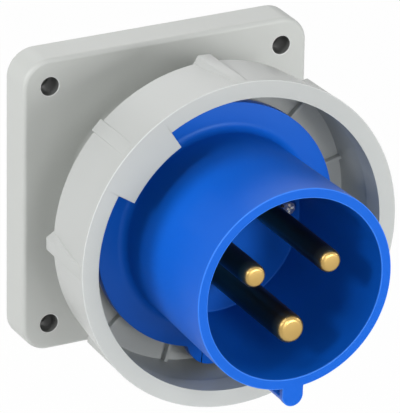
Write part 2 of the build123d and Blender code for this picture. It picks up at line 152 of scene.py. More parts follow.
def new_group(name: str, inputs: dict[str, float], outputs: tuple[str, ...]) -> tuple[Graph, NodeOutputs, Node]:
    """Makes an empty shader node group whose inputs and outputs are numbers.

    Args:
        name: Name of the group.
        inputs: Name and default value of each input.
        outputs: Name of each output.

    Returns:
        The group's graph, the sockets that give its inputs, and its output node.
    """
    tree = bpy.data.node_groups.new(name, "ShaderNodeTree")
    for label, value in inputs.items():
        tree.interface.new_socket(label, in_out="INPUT", socket_type="NodeSocketFloat").default_value = value
    for label in outputs:
        tree.interface.new_socket(label, in_out="OUTPUT", socket_type="NodeSocketFloat")
    graph = Graph(tree)
    return graph, graph.add("NodeGroupInput").outputs, graph.add("NodeGroupOutput")


def uneven_roughness(graph: Graph, given: NodeOutputs, noise: NodeSocket) -> NodeSocket:
    """Returns a skin's roughness with its spread to both sides. Noise of a half leaves it as it is."""
    swing = graph.math("MULTIPLY", graph.math("SUBTRACT", noise, 0.5), 2.0)
    return graph.math("ADD", given["Roughness"], graph.math("MULTIPLY", swing, given["Roughness Spread"]))


def mould_skin_group() -> NodeTree:
    """Builds the shared skin of moulded plastic: fine spark grain, slow waves and faint colour flow.

    Returns:
        The group, with a height, a roughness and a tone that vary over the surface.
    """
    graph, given, sink = new_group(
        "mould_skin",
        {
            "Grain Scale": 2600.0,
            "Grain Depth": 0.3,
            "Wave Scale": 45.0,
            "Wave Depth": 0.35,
            "Roughness": 0.42,
            "Roughness Spread": 0.04,
        },
        ("Height", "Roughness", "Tone"),
    )
    place = graph.add("ShaderNodeTexCoord").outputs["Object"]
    grain = graph.noise(place, given["Grain Scale"], 2.0)
    wave = graph.noise(place, given["Wave Scale"], 3.0)
    fine = graph.math("MULTIPLY", grain, given["Grain Depth"])
    height = graph.math("ADD", fine, graph.math("MULTIPLY", wave, given["Wave Depth"]))
    graph.feed(sink, {"Height": height, "Roughness": uneven_roughness(graph, given, wave), "Tone": wave})
    return graph.tree


def turned_skin_group() -> NodeTree:
    """Builds the shared skin of turned metal: fine rings along the axis and a slow tarnish.

    Returns:
        The group, with a height, a roughness and a tarnish mask.
    """
    graph, given, sink = new_group(
        "turned_skin",
        {"Ring Scale": 1600.0, "Tarnish Scale": 160.0, "Roughness": 0.24, "Roughness Spread": 0.04},
        ("Height", "Roughness", "Tarnish"),
    )
    place = graph.add("ShaderNodeTexCoord").outputs["Object"]
    across = (0.05, 1.0, 0.05)  # draws the noise out across the axis, into rings
    drawn = graph.add("ShaderNodeMapping", {"Vector": place, "Scale": across}).outputs["Vector"]
    rings = graph.noise(drawn, given["Ring Scale"], 2.0)
    stain = graph.noise(place, given["Tarnish Scale"], 1.0)
    roughness = uneven_roughness(graph, given, stain)
    graph.feed(sink, {"Height": rings, "Roughness": roughness, "Tarnish": stain})
    return graph.tree


# Finishes


@dataclass(frozen=True, kw_only=True)
class Look:
    """What every finish has: a roughness and a fine relief, both varied by the skin that its kind shares."""

    skin_group: ClassVar[NodeTree]
    roughness: float
    bump_distance: float
    bump_strength: float

    def start(self, name: str) -> tuple[Material, Graph, Node, Node]:
        """Starts a material.

        Args:
            name: Name of the material.

        Returns:
            The material, its graph, its Principled node and the skin's node.
        """
        material = bpy.data.materials.new(name)
        material.use_nodes = True
        graph = Graph(material.node_tree)
        shader = material.node_tree.nodes["Principled BSDF"]
        skin = graph.add("ShaderNodeGroup", {"Roughness": self.roughness}, node_tree=self.skin_group)
        relief = {"Strength": self.bump_strength, "Distance": self.bump_distance * MM}
        bump = graph.add("ShaderNodeBump", {**relief, "Height": skin.outputs["Height"]})
        graph.feed(shader, {"Roughness": skin.outputs["Roughness"], "Normal": bump.outputs["Normal"]})
        return material, graph, shader, skin


@dataclass(frozen=True)
class MouldedPlastic(Look):
    """Semi-matt injection moulded plastic.

    The two colours are those of the plastic where it flowed slow and fast. The bounce colour is what it throws on
    its neighbours, and the edge highlight colour is a paler colour painted on its front edges as a highlight. Within
    hole_radius of the fixing holes' axes, hole_place from both middle planes, the colour is darkened to a share of
    itself: painted shade on the holes' walls.
    """

    skin_group: ClassVar[NodeTree] = mould_skin_group()
    colour: Colour
    flow_colour: Colour
    _: KW_ONLY
    specular: float = 0.45
    specular_tint: Colour = WHITE
    bounce_colour: Colour | None = None
    # paler colour of the front edges: a painted highlight
    edge_highlight_colour: Colour | None = None
    bump_distance: float = 0.03
    bump_strength: float = 0.25
    # painted shade on the walls of the fixing holes: where they are, their radius and the share of the colour left
    # there
    hole_place: float | None = None
    hole_radius: float = 3.35
    hole_shade: float = 0.3

    def material(self, name: str) -> Material:
        """Builds the material under a name."""
        material, graph, shader, skin = self.start(name)
        tone = graph.blend(skin.outputs["Tone"], (*self.colour, 1.0), (*self.flow_colour, 1.0))
        # painted shade: the walls of the fixing holes are darkened as if in shadow
        if self.hole_place is not None:
            shaded_wall = (*(self.hole_shade * part for part in self.colour), 1.0)
            tone = graph.blend(self.hole_shade_share(graph), tone, shaded_wall)
        if self.bounce_colour is not None:
            thrown = graph.add("ShaderNodeLightPath").outputs["Is Diffuse Ray"]
            tone = graph.blend(thrown, tone, (*self.bounce_colour, 1.0))
        tint = (*self.specular_tint, 1.0)
        graph.feed(shader, {"Base Color": tone, "Specular IOR Level": self.specular, "Specular Tint": tint})
        return material

    def hole_shade_share(self, graph: Graph) -> NodeSocket:
        """Returns 1 on the walls of the four fixing holes, where painted shade darkens the colour, and 0 elsewhere.
        """
        place = graph.place()
        squares = []
        for axis in "XZ":
            offset = graph.math("SUBTRACT", graph.math("ABSOLUTE", place.outputs[axis]), self.hole_place * MM)
            squares.append(graph.math("MULTIPLY", offset, offset))
        gap = graph.math("SQRT", graph.math("ADD", *squares))
        return graph.math("LESS_THAN", gap, self.hole_radius * MM)


@dataclass(frozen=True)
class TurnedMetal(Look):
    """Turned metal with fine tool rings across its axis and a slight tarnish.

    Behind a given distance in front of the panel it can have a darker colour: painted shade where the shaft reflects
    the dark cup around it.
    """

    skin_group: ClassVar[NodeTree] = turned_skin_group()
    colour: Colour
    tarnish_colour: Colour
    _: KW_ONLY
    # darker colour of the shaft behind the tip: painted shade of the dark cup that it reflects
    shaft_shade_colour: Colour | None = None
    shade_front: float = 0.0
    shade_blend: float = 3.5
    bump_distance: float = 0.02
    bump_strength: float = 0.3

    def material(self, name: str) -> Material:
        """Builds the material under a name."""
        material, graph, shader, skin = self.start(name)
        tone = graph.blend(skin.outputs["Tarnish"], (*self.colour, 1.0), (*self.tarnish_colour, 1.0))
        # painted shade: the shaft darkens behind the tip, where it reflects the dark cup
        if self.shaft_shade_colour is not None:
            tone = graph.blend(self.shaft_shade_share(graph), tone, (*self.shaft_shade_colour, 1.0))
        graph.feed(shader, {"Base Color": tone, "Metallic": 1.0})
        return material

    def shaft_shade_share(self, graph: Graph) -> NodeSocket:
        """Returns the share of painted shade on the shaft, which is nothing in front of where the shade starts and
        all behind the blend.
        """
        lit_end, shade_end = -self.shade_front * MM, (self.shade_blend - self.shade_front) * MM
        span = {"Value": graph.place().outputs["Y"], "From Min": lit_end, "From Max": shade_end}
        return graph.add("ShaderNodeMapRange", span).outputs["Result"]


class Finish(Enum):
    """Every finish on the inlet. Its name in lower case is its slot in the record and the name of its material."""

    GREY_PLASTIC = MouldedPlastic(
        colour=(0.555, 0.57, 0.55),
        flow_colour=(0.54, 0.555, 0.535),
        # painted highlight on the front edges
        edge_highlight_colour=(0.74, 0.75, 0.74),
        roughness=0.42,
        specular=0.35,
        # the walls of the fixing holes get painted shade
        hole_place=43.5,
    )
    RING_PLASTIC = MouldedPlastic(
        colour=(0.505, 0.52, 0.507),
        flow_colour=(0.49, 0.505, 0.492),
        # painted highlight on the front edges
        edge_highlight_colour=(0.585, 0.60, 0.59),
        roughness=0.35,
        specular=0.35,
    )
    BLUE_PLASTIC = MouldedPlastic(
        colour=(0.004, 0.118, 0.62),
        flow_colour=(0.004, 0.106, 0.61),
        # painted highlight on the front edges
        edge_highlight_colour=(0.04, 0.2, 0.8),
        bounce_colour=(0.02, 0.10, 0.27),
        roughness=0.36,
        specular=0.2,
        specular_tint=(0.6, 0.85, 1.0),
    )
    SEAL_RUBBER = MouldedPlastic((0.02, 0.02, 0.021), (0.026, 0.026, 0.027), roughness=0.62)
    CARRIER_PLASTIC = MouldedPlastic((0.035, 0.036, 0.039), (0.042, 0.043, 0.046), roughness=0.5)
    PIN_BRASS = TurnedMetal(
        colour=(0.52, 0.36, 0.13),
        tarnish_colour=(0.43, 0.28, 0.09),
        # painted shade on the shaft inside the cup
        shaft_shade_colour=(0.17, 0.105, 0.04),
        roughness=0.33,
        shade_front=104.3,
    )
    INSERT_BRASS = TurnedMetal((0.76, 0.56, 0.28), (0.66, 0.46, 0.22), roughness=0.34)
    SCREW_STEEL = TurnedMetal((0.80, 0.81, 0.83), (0.62, 0.63, 0.65), roughness=0.21)


class Wardrobe:
    """The materials, each built the first time that a piece wears it."""

    built: dict[str, Material] = {}

    @classmethod
    def made(cls, name: str, look: MouldedPlastic | TurnedMetal) -> Material:
        """Returns the material of a name, which is built the first time."""
        if name not in cls.built:
            cls.built[name] = look.material(name)
        return cls.built[name]

    @classmethod
    def material(cls, finish: Finish) -> Material:
        """Returns the material of a finish."""
        return cls.made(finish.name.lower(), finish.value)

    @classmethod
    def edge(cls, finish: Finish) -> Material:
        """Returns the material of a plastic's front edges: its paler edge colour, a painted highlight."""
        # the paler edge colour, a painted highlight, in a material of its own
        painted_highlight = finish.value.edge_highlight_colour
        return cls.made(finish.name.lower() + "_edge", replace(finish.value, colour=painted_highlight, flow_colour=painted_highlight))


# Studio


def add_object(name: str, data: ID) -> Object:
    """Returns a new object that is linked to the scene."""
    thing = bpy.data.objects.new(name, data)
    bpy.context.scene.collection.objects.link(thing)
    return thing


def bearing(azimuth: float, elevation: float) -> Vector:
    """Returns the direction to a place in the studio: azimuth is to the right of the front, elevation upwards."""
    turn, tilt = math.radians(azimuth), math.radians(elevation)
    return Vector((math.sin(turn) * math.cos(tilt), -math.cos(turn) * math.cos(tilt), math.sin(tilt)))


@dataclass
class SoftBox:
    """One rectangular studio light aimed at the inlet, with its power in watts and its sizes in metres."""

    name: str
    azimuth: float
    elevation: float
    power: float
    width: float = 0.5
    height: float = 0.5
    distance: float = 1.6

    def place(self, aim: Vector) -> None:
        """Puts the light on its stand, facing a point.

        Args:
            aim: The point.
        """
        lamp = bpy.data.lights.new(self.name, "AREA")
        lamp.shape = "RECTANGLE"
        lamp.size = self.width
        lamp.size_y = self.height
        lamp.energy = self.power
        out = bearing(self.azimuth, self.elevation)
        stand = add_object(self.name, lamp)
        stand.location = aim + out * self.distance
        stand.rotation_euler = out.to_track_quat("Z", "Y").to_euler()


@dataclass
class Studio:
    """Camera, floor and soft light, with sizes in metres except for the sensor's.

    The camera stands where the photograph was taken from: a long lens, above and to the left of the inlet.
    """

    frame_height_px: float = 413.0
    focal_px: float = 5328.9
    azimuth: float = -27.347
    elevation: float = 23.848
    roll: float = 0.936
    shift_right: float = -0.017808
    shift_up: float = 0.012417
    distance: float = 1.820014
    sensor_height: float = 24.0
    view_depth: float = 50.0
    aim: tuple[float, float, float] = (0.0, -0.05, 0.0)
    backdrop: float = 1.0
    fill: float = 0.05
    fill_colour: Colour = (0.96, 0.98, 1.0)
    floor_colour: Colour = (0.9, 0.9, 0.9)
    floor_glow: float = 0.98
    floor_drop: float = 0.30
    floor_radius: float = 6.0
    floor_sides: int = 96
    boxes: list[SoftBox] = field(
        default_factory=lambda: [
            SoftBox("left_box", -100.0, 30.0, 13.0),
            SoftBox("left_front_box", -70.0, 30.0, 5.0, 0.25, 0.25),
            SoftBox("left_high_box", -70.0, 60.0, 3.8),
            SoftBox("front_box", -10.0, 26.0, 5.0),
            SoftBox("axis_box", -10.0, 2.0, 1.8),
            SoftBox("right_front_box", 20.0, 6.0, 13.2, 0.5, 0.7),
            SoftBox("right_box", 75.0, 18.0, 2.8),
            SoftBox("top_box", -10.0, 88.0, 0.9),
            SoftBox("back_box", 165.0, 35.0, 6.0, 1.2, 0.9),
        ]
    )

    def build(self) -> None:
        """Sets the camera, the lights, the surroundings and the floor."""
        self.aim_camera()
        for box in self.boxes:
            box.place(Vector(self.aim))
        self.surround()
        self.lay_floor()
        bpy.context.scene.view_settings.view_transform = "Standard"

    def aim_camera(self) -> None:
        """Creates the camera at the photograph's viewing angle."""
        back = bearing(self.azimuth, self.elevation)
        lean = math.radians(self.roll)
        level = Vector((0.0, 0.0, 1.0)).cross(back).normalized()
        rise = back.cross(level)
        right = level * math.cos(lean) + rise * math.sin(lean)
        up = rise * math.cos(lean) - level * math.sin(lean)
        place = back * self.distance - right * self.shift_right - up * self.shift_up
        lens = bpy.data.cameras.new("camera")
        lens.sensor_fit = "VERTICAL"
        lens.sensor_height = self.sensor_height
        lens.lens = self.focal_px / self.frame_height_px * self.sensor_height
        lens.clip_end = self.view_depth
        camera = add_object("camera", lens)
        turned = Matrix((right, up, back)).transposed().to_4x4()
        camera.matrix_world = Matrix.Translation(place) @ turned
        bpy.context.scene.camera = camera

    @staticmethod
    def show(graph: Graph, lighting: Node, seen: Node, share: float, output: str) -> None:
        """Shows one shader to the camera and in reflections, and lets another one light the inlet.

        Args:
            graph: Graph of the world or of a material.
            lighting: Shader that lights the inlet.
            seen: Shader for the camera's rays, and for reflected and refracted ones.
            share: How much of the seen shader there is in those rays, from 0 to 1.
            output: Blender's type name of the output node.
        """
        rays = graph.add("ShaderNodeLightPath").outputs
        mirrored = graph.math("MAXIMUM", rays["Is Glossy Ray"], rays["Is Transmission Ray"])
        shown = graph.math("MULTIPLY", graph.math("MAXIMUM", rays["Is Camera Ray"], mirrored), share)
        mix = graph.add("ShaderNodeMixShader", {0: shown, 1: lighting.outputs[0], 2: seen.outputs[0]})
        graph.add(output, {"Surface": mix.outputs[0]})

    def surround(self) -> None:
        """Gives the room a soft pale light, and a white backdrop to the camera and to reflections."""
        world = bpy.data.worlds.new("studio")
        world.use_nodes = True
        world.node_tree.nodes.clear()
        bpy.context.scene.world = world
        graph = Graph(world.node_tree)
        room = graph.add("ShaderNodeBackground", {"Color": (*self.fill_colour, 1.0), "Strength": self.fill})
        white = graph.add("ShaderNodeBackground", {"Color": (*WHITE, 1.0), "Strength": self.backdrop})
        self.show(graph, room, white, 1.0, "ShaderNodeOutputWorld")

    def lay_floor(self) -> None:
        """Lays a pale round floor below the inlet, which shows its shadow."""
        material = bpy.data.materials.new("pale_floor")
        material.use_nodes = True
        material.node_tree.nodes.clear()
        graph = Graph(material.node_tree)
        paint = graph.add("ShaderNodeBsdfDiffuse", {"Color": (*self.floor_colour, 1.0)})
        glow = graph.add("ShaderNodeEmission", {"Color": (*WHITE, 1.0)})
        self.show(graph, paint, glow, self.floor_glow, "ShaderNodeOutputMaterial")
        sheet = bmesh.new()
        bmesh.ops.create_circle(sheet, cap_ends=True, radius=self.floor_radius, segments=self.floor_sides)
        mesh = bpy.data.meshes.new("floor")
        sheet.to_mesh(mesh)
        sheet.free()
        mesh.materials.append(material)
        floor = add_object("floor", mesh)
        floor.location.z = cad_box[0][2] - self.floor_drop


# Outlines and skins


def spot(radius: float, clock: float) -> tuple[float, float]:
    """Returns the place on the face at a radius and an angle clockwise from 12 o'clock."""
    return radius * math.sin(math.radians(clock)), radius * math.cos(math.radians(clock))


def steps(first: float, last: float, pitch: float) -> list[float]:
    """Returns even places over a span, no further apart than the pitch, with its start and without its end."""
    count = max(1, math.ceil((last - first) / pitch - ROUND_OFF))
    return [first + (last - first) * index / count for index in range(count)]


def quarter(facets: int) -> list[tuple[float, float]]:
    """Returns the sine and the cosine at each end of a quarter turn's facets."""
    bends = [math.radians(90.0 * part / facets) for part in range(facets + 1)]
    return [(math.sin(bend), math.cos(bend)) for bend in bends]


@dataclass
class Skin:
    """A closed surface stitched over a row of outlines that all have the same number of places."""

    name: str
    centre: tuple[float, float] = (0.0, 0.0)
    rows: list[list[Vector]] = field(default_factory=list)

    def row(self, outline: Outline, distance: float | list[float]) -> None:
        """Adds an outline at a distance, or at one distance for each of its places."""
        gaps = distance if isinstance(distance, list) else [distance] * len(outline)
        cx, cz = self.centre
        self.rows.append([Vector(((x + cx) * MM, -d * MM, (z + cz) * MM)) for (x, z), d in zip(outline, gaps)])

    def turn(self, angles: list[float], *profile: tuple[float, float]) -> None:
        """Adds a round outline, with its places at the angles, for each radius and distance of a profile."""
        for radius, distance in profile:
            self.row([spot(radius, angle) for angle in angles], distance)

    def mesh(self, endless: bool) -> Mesh:
        """Stitches the rows together.

        Args:
            endless: Whether the last row joins the first, as on a ring. Otherwise both ends are closed.

        Returns:
            The mesh, its doubled places merged and its faces pointing outwards.
        """
        sheet = bmesh.new()
        corners = [[sheet.verts.new(place) for place in row] for row in self.rows]
        pairs = list(zip(corners, corners[1:]))
        if endless:
            pairs.append((corners[-1], corners[0]))
        for low, high in pairs:
            for index in range(len(low)):
                after = (index + 1) % len(low)
                sheet.faces.new((low[index], low[after], high[after], high[index]))
        if not endless:
            sheet.faces.new(corners[0])
            sheet.faces.new(list(reversed(corners[-1])))
        bmesh.ops.remove_doubles(sheet, verts=sheet.verts, dist=STITCH)
        bmesh.ops.dissolve_degenerate(sheet, dist=STITCH, edges=sheet.edges)
        bmesh.ops.recalc_face_normals(sheet, faces=sheet.faces)
        mesh = bpy.data.meshes.new(self.name)
        sheet.to_mesh(mesh)
        sheet.free()
        return mesh


def prism(name: str, front: Outline, front_distance: float, back: Outline, back_distance: float) -> Mesh:
    """Makes a solid between two outlines with the same number of places."""
    skin = Skin(name)
    skin.row(back, back_distance)
    skin.row(front, front_distance)
    return skin.mesh(endless=False)


# Pieces and their edges


def piece_of(name: str, mesh: Mesh, body: Body, finish: Finish) -> Object:
    """Makes a piece of the inlet from a mesh.

    Args:
        name: Name of the piece.
        mesh: Its mesh, in place.
        body: Body that the piece moves with.
        finish: Finish that it wears.

    Returns:
        The piece, smooth shaded.
    """
    for face in mesh.polygons:
        face.use_smooth = True
    mesh.materials.clear()
    mesh.materials.append(Wardrobe.material(finish))
    piece = add_object(name, mesh)
    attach(piece, body.value)
    log.info("%s: %d faces, rides on %s, wears %s", name, len(mesh.polygons), body.value, finish.name.lower())
    return piece


@dataclass(frozen=True)
class Rounding:
    """How edges are rounded. An edge is sharp when its faces meet at more than the sharp angle."""

    width: float
    facets: int
    sharp_angle: float = 35.0

    def add(self, piece: Object, name: str, **settings: object) -> None:
        """Adds a Bevel modifier of this rounding, with a name and other properties."""
        bevel = piece.modifiers.new(name, "BEVEL")
        for label, value in {"width": self.width * MM, "segments": self.facets, **settings}.items():
            setattr(bevel, label, value)


def soften(piece: Object, rounding: Rounding, shading: Shading) -> None:
    """Rounds the sharp edges of a piece.

    Args:
        piece: Piece to finish.
        rounding: Rounding of the edges.
        shading: How the faces beside the rounding are shaded.
    """
    limit = math.radians(rounding.sharp_angle)
    hard = shading is Shading.HARDENED
    rounding.add(piece, "edge_rounding", limit_method="ANGLE", angle_limit=limit, harden_normals=hard)
    if shading is Shading.WEIGHTED:
        weighted = piece.modifiers.new("flat_faces", "WEIGHTED_NORMAL")
        weighted.mode = "FACE_AREA"
        weighted.weight = 100  # the most: at a corner only the largest faces count


def round_front(piece: Object, front: float, rounding: Rounding, highlighted: Finish, beyond: float = 0.0) -> None:
    """Rounds the sharp edges in a piece's front plane, whose finely spaced points would hold back the other rounding.

    Args:
        piece: Piece to finish.
        front: Distance of the plane.
        rounding: Rounding of the edges.
        highlighted: Plastic whose paler edge colour, a painted highlight, the rounding shows.
        beyond: Radius inside which the edges are left.
    """
    sheet = bmesh.new()
    sheet.from_mesh(piece.data)
    weights = sheet.edges.layers.float.new("bevel_weight_edge")
    limit = math.radians(rounding.sharp_angle)
    for edge in sheet.edges:
        level = all(abs(vert.co.y + front * MM) < NEAR for vert in edge.verts)
        level = level and all(math.hypot(vert.co.x, vert.co.z) >= beyond * MM for vert in edge.verts)
        if level and len(edge.link_faces) == 2 and edge.calc_face_angle() > limit:
            edge[weights] = 1.0
    sheet.to_mesh(piece.data)
    sheet.free()
    # material 1 is the paler edge colour: a painted highlight along the front edges
    piece.data.materials.append(Wardrobe.edge(highlighted))
    rounding.add(
        piece, "front_rounding", limit_method="WEIGHT", harden_normals=True, use_clamp_overlap=False, material=1
    )


# Geometry Nodes


class Repeater:
    """A Geometry Nodes tree that sets copies of one shape around the inlet's axis."""

    tree: NodeTree | None = None

    @classmethod
    def build(cls) -> NodeTree:
        """Builds the tree the first time.

        Returns:
            The tree, with the number of copies, the first angle, the step and the copies to leave out as inputs.
        """
        if cls.tree is not None:
            return cls.tree
        cls.tree = bpy.data.node_groups.new("around_the_axis", "GeometryNodeTree")
        cls.tree.is_modifier = True
        kinds = {
            "Geometry": "Geometry",
            "Count": "Int",
            "First Angle": "Float",
            "Step Angle": "Float",
            "Leave Out Every": "Int",
            "Finish": "Material",
        }
        for label, kind in kinds.items():
            cls.tree.interface.new_socket(label, in_out="INPUT", socket_type="NodeSocket" + kind)
        cls.tree.interface.new_socket("Geometry", in_out="OUTPUT", socket_type="NodeSocketGeometry")
        graph = Graph(cls.tree)
        given = graph.add("NodeGroupInput").outputs
        row = graph.add("GeometryNodeMeshLine", {"Count": given["Count"], "Offset": (0.0, 0.0, 0.0)}, mode="OFFSET")
        index = graph.add("GeometryNodeInputIndex").outputs[0]
        angle = graph.math("ADD", graph.math("MULTIPLY", index, given["Step Angle"]), given["First Angle"])
        spin = graph.add("ShaderNodeCombineXYZ", {"Y": graph.math("RADIANS", angle)})
        place = graph.math("MODULO", graph.math("ADD", index, 1.0), given["Leave Out Every"])
        copies = graph.add(
            "GeometryNodeInstanceOnPoints",
            {
                "Points": row.outputs["Mesh"],
                "Instance": given["Geometry"],
                "Rotation": spin.outputs[0],
                "Selection": graph.math("GREATER_THAN", place, 0.5),
            },
        )
        real = graph.add("GeometryNodeRealizeInstances", {"Geometry": copies.outputs["Instances"]})
        dress = graph.add(
            "GeometryNodeSetMaterial", {"Geometry": real.outputs["Geometry"], "Material": given["Finish"]}
        )
        graph.add("NodeGroupOutput", {"Geometry": dress.outputs["Geometry"]})
        return cls.tree


# The inlet's sub-assemblies


@dataclass
class LockingRing:
    """The bayonet ring: a tapered sleeve with a collar, two lugs, grip ribs, two bands and ribs on its floor."""

    back: float = 40.0
    front: float = 69.1
    back_radius: float = 55.1
    front_radius: float = 58.35
    back_edge: float = 1.0
    bore_radius: float = 52.3
    relief_radius: float = 53.3
    relief_front: float = 60.0
    floor_radius: float = 52.4
    floor_front: float = 42.0
    collar_radius: float = 43.0
    collar_bore: float = 37.3
    collar_front: float = 47.1
    edges: Rounding = Rounding(0.5, 3)
    rim: Rounding = Rounding(0.3, 3)
    lug_angles: tuple[float, float] = (135.0, 315.0)
    lug_radius: float = 45.5
    lug_root_half: float = 14.7
    lug_crest_half: float = 15.2
    lug_thickness: float = 8.0
    lug_ramp_rise: float = 2.6
    lug_facets: int = 24
    bar_foot: float = 54.2
    grip_places: int = 8
    grip_left_out: int = 4
    grip_crest: float = 57.6
    grip_base_width: float = 8.8
    grip_crest_width: float = 4.4
    grip_runout: float = 1.2
    grip_edges: Rounding = Rounding(0.35, 2)
    band_width: float = 4.8
    band_height: float = 0.7
    band_runout: float = 2.2
    band_edges: Rounding = Rounding(0.2, 2)
    rib_count: int = 12
    rib_first: float = 16.0
    rib_width: float = 1.3
    rib_height: float = 2.0
    rib_bite: float = 0.5
    rib_edges: Rounding = Rounding(0.3, 2)
    pitch: float = 1.5

    def build(self) -> None:
        """Builds every piece of the ring."""
        sleeve = piece_of("ring_sleeve", self.sleeve(), Body.RING, Finish.RING_PLASTIC)
        round_front(sleeve, self.front, self.rim, Finish.RING_PLASTIC, self.bore_radius + self.edges.width)
        soften(sleeve, self.edges, Shading.WEIGHTED)
        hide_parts("locking_ring")
        self.grip_ribs()
        self.grip_bands()
        self.floor_ribs()

    def cone(self, distance: float) -> float:
        """Returns the radius of the sleeve's taper at a distance in front of the panel."""
        share = (distance - self.back) / (self.front - self.back)
        return self.back_radius + (self.front_radius - self.back_radius) * share

    def places(self) -> tuple[list[float], list[tuple[float, float, float]]]:
        """Spreads the places of an outline around the ring, closer together at the lugs.

        Returns:
            The angle of every place, and for each the radius and angle of the lug outline there with the
            share of the lug's length that has been passed, or minus one beside the lugs.
        """
        angles: list[float] = []
        inner: list[tuple[float, float, float]] = []
        half, crest = self.lug_root_half, self.lug_crest_half
        for number, middle in enumerate(self.lug_angles):
            angles.append(middle - half)
            inner.append((self.bore_radius, middle - half, 0.0))
            for share in [index / self.lug_facets for index in range(self.lug_facets + 1)]:
                angles.append(middle - half + 2 * half * share)
                inner.append((self.lug_radius, middle - crest + 2 * crest * share, share))
            angles.append(middle + half)
            inner.append((self.bore_radius, middle + half, 1.0))
            following = self.lug_angles[(number + 1) % 2] + (360.0 if number else 0.0)
            for angle in steps(middle + half, following - half, self.pitch)[1:]:
                angles.append(angle)
                inner.append((self.bore_radius, angle, -1.0))
        return angles, inner

    def sleeve(self) -> Mesh:
        """Builds the sleeve with its collar and lugs."""
        angles, inner = self.places()
        middle_back = self.front - self.lug_thickness
        # Beside the lugs both rows of the ramp lie on the bore, so any share does there
        ramp = [middle_back + self.lug_ramp_rise * (share if share >= 0 else 0.5) for _, _, share in inner]
        lugs = [spot(radius, angle) for radius, angle, _ in inner]
        skin = Skin("ring_sleeve")
        skin.turn(
            angles,
            (self.collar_bore, self.back),
            (self.back_radius - self.back_edge, self.back),
            (self.cone(self.back + self.back_edge), self.back + self.back_edge),
            (self.front_radius, self.front),
        )
        skin.row(lugs, self.front)
        skin.row(lugs, ramp)
        skin.row([spot(self.bore_radius, angle) for angle in angles], ramp)
        skin.turn(
            angles,
            (self.bore_radius, self.relief_front),
            (self.relief_radius, self.relief_front),
            (self.floor_radius, self.floor_front),
            (self.collar_radius, self.floor_front),
            (self.collar_radius, self.collar_front),
            (self.collar_bore, self.collar_front),
        )
        return skin.mesh(endless=True)

    def bar(self, name: str, foot_half: float, crest_half: float, crest: float, runout: float) -> Mesh:
        """Makes a bar along the outside, which runs out into the taper.

        Args:
            name: Name of the mesh.
            foot_half: Half of its width at the foot.
            crest_half: Half of its width at the crest.
            crest: Radius of the crest at the ring's back.
            runout: How far behind the front edge it ends.

        Returns:
            The mesh, at 12 o'clock.
        """
        end, foot = self.front - runout, self.bar_foot
        front, back = (
            [(-foot_half, foot), (-crest_half, top), (crest_half, top), (foot_half, foot)]
            for top in (self.cone(end), crest)
        )
        return prism(name, front, end, back, self.back)

    def spread(self, name: str, shape: Mesh, rounding: Rounding, first: float, count: int, left_out: int) -> None:
        """Makes a piece from copies of a shape evenly around the ring, as a plain mesh.

        Args:
            name: Name of the piece.
            shape: Mesh of one copy, at 12 o'clock.
            rounding: Rounding of each copy's edges.
            first: Angle of the first copy.
            count: Number of places.
            left_out: Each place with a multiple of this number stays empty.
        """
        carrier = add_object(name + "_seed", shape)
        soften(carrier, rounding, Shading.SMOOTH)
        nodes = carrier.modifiers.new("repeat", "NODES")
        nodes.node_group = Repeater.build()
        items = nodes.node_group.interface.items_tree
        sockets = {item.name: item.identifier for item in items if item.in_out == "INPUT"}
        settings = {
            "Count": count,
            "First Angle": first,
            "Step Angle": 360.0 / count,
            "Leave Out Every": left_out,
            "Finish": Wardrobe.material(Finish.RING_PLASTIC),
        }
        for label, value in settings.items():
            nodes[sockets[label]] = value
        ready = carrier.evaluated_get(bpy.context.evaluated_depsgraph_get())
        mesh = bpy.data.meshes.new_from_object(ready)
        mesh.name = name
        bpy.data.objects.remove(carrier)
        mesh.validate()
        piece_of(name, mesh, Body.RING, Finish.RING_PLASTIC)
        mesh.set_sharp_from_angle(angle=CREASE)

    def grip_ribs(self) -> None:
        """Builds the grip ribs, with gaps over the lugs."""
        base, tip = self.grip_base_width / 2, self.grip_crest_width / 2
        rib = self.bar("grip_rib", base, tip, self.grip_crest, self.grip_runout)
        self.spread("grip_ribs", rib, self.grip_edges, 0.0, self.grip_places, self.grip_left_out)

    def grip_bands(self) -> None:
        """Builds the flat bands over the lugs."""
        half = self.band_width / 2
        band = self.bar("grip_band", half, half, self.cone(self.back) + self.band_height, self.band_runout)
        self.spread("grip_bands", band, self.band_edges, self.lug_angles[0], len(self.lug_angles), KEEP_ALL)

    def floor_ribs(self) -> None:
        """Builds the ribs between the collar and the sleeve."""
        low, high = self.collar_radius - self.rib_bite, self.floor_radius + self.rib_bite
        half = self.rib_width / 2
        outline = [(-half, low), (-half, high), (half, high), (half, low)]
        top = self.floor_front + self.rib_height
        rib = prism("floor_rib", outline, top, outline, self.floor_front - self.rib_bite)
        self.spread("floor_ribs", rib, self.rib_edges, self.rib_first, self.rib_count, KEEP_ALL)


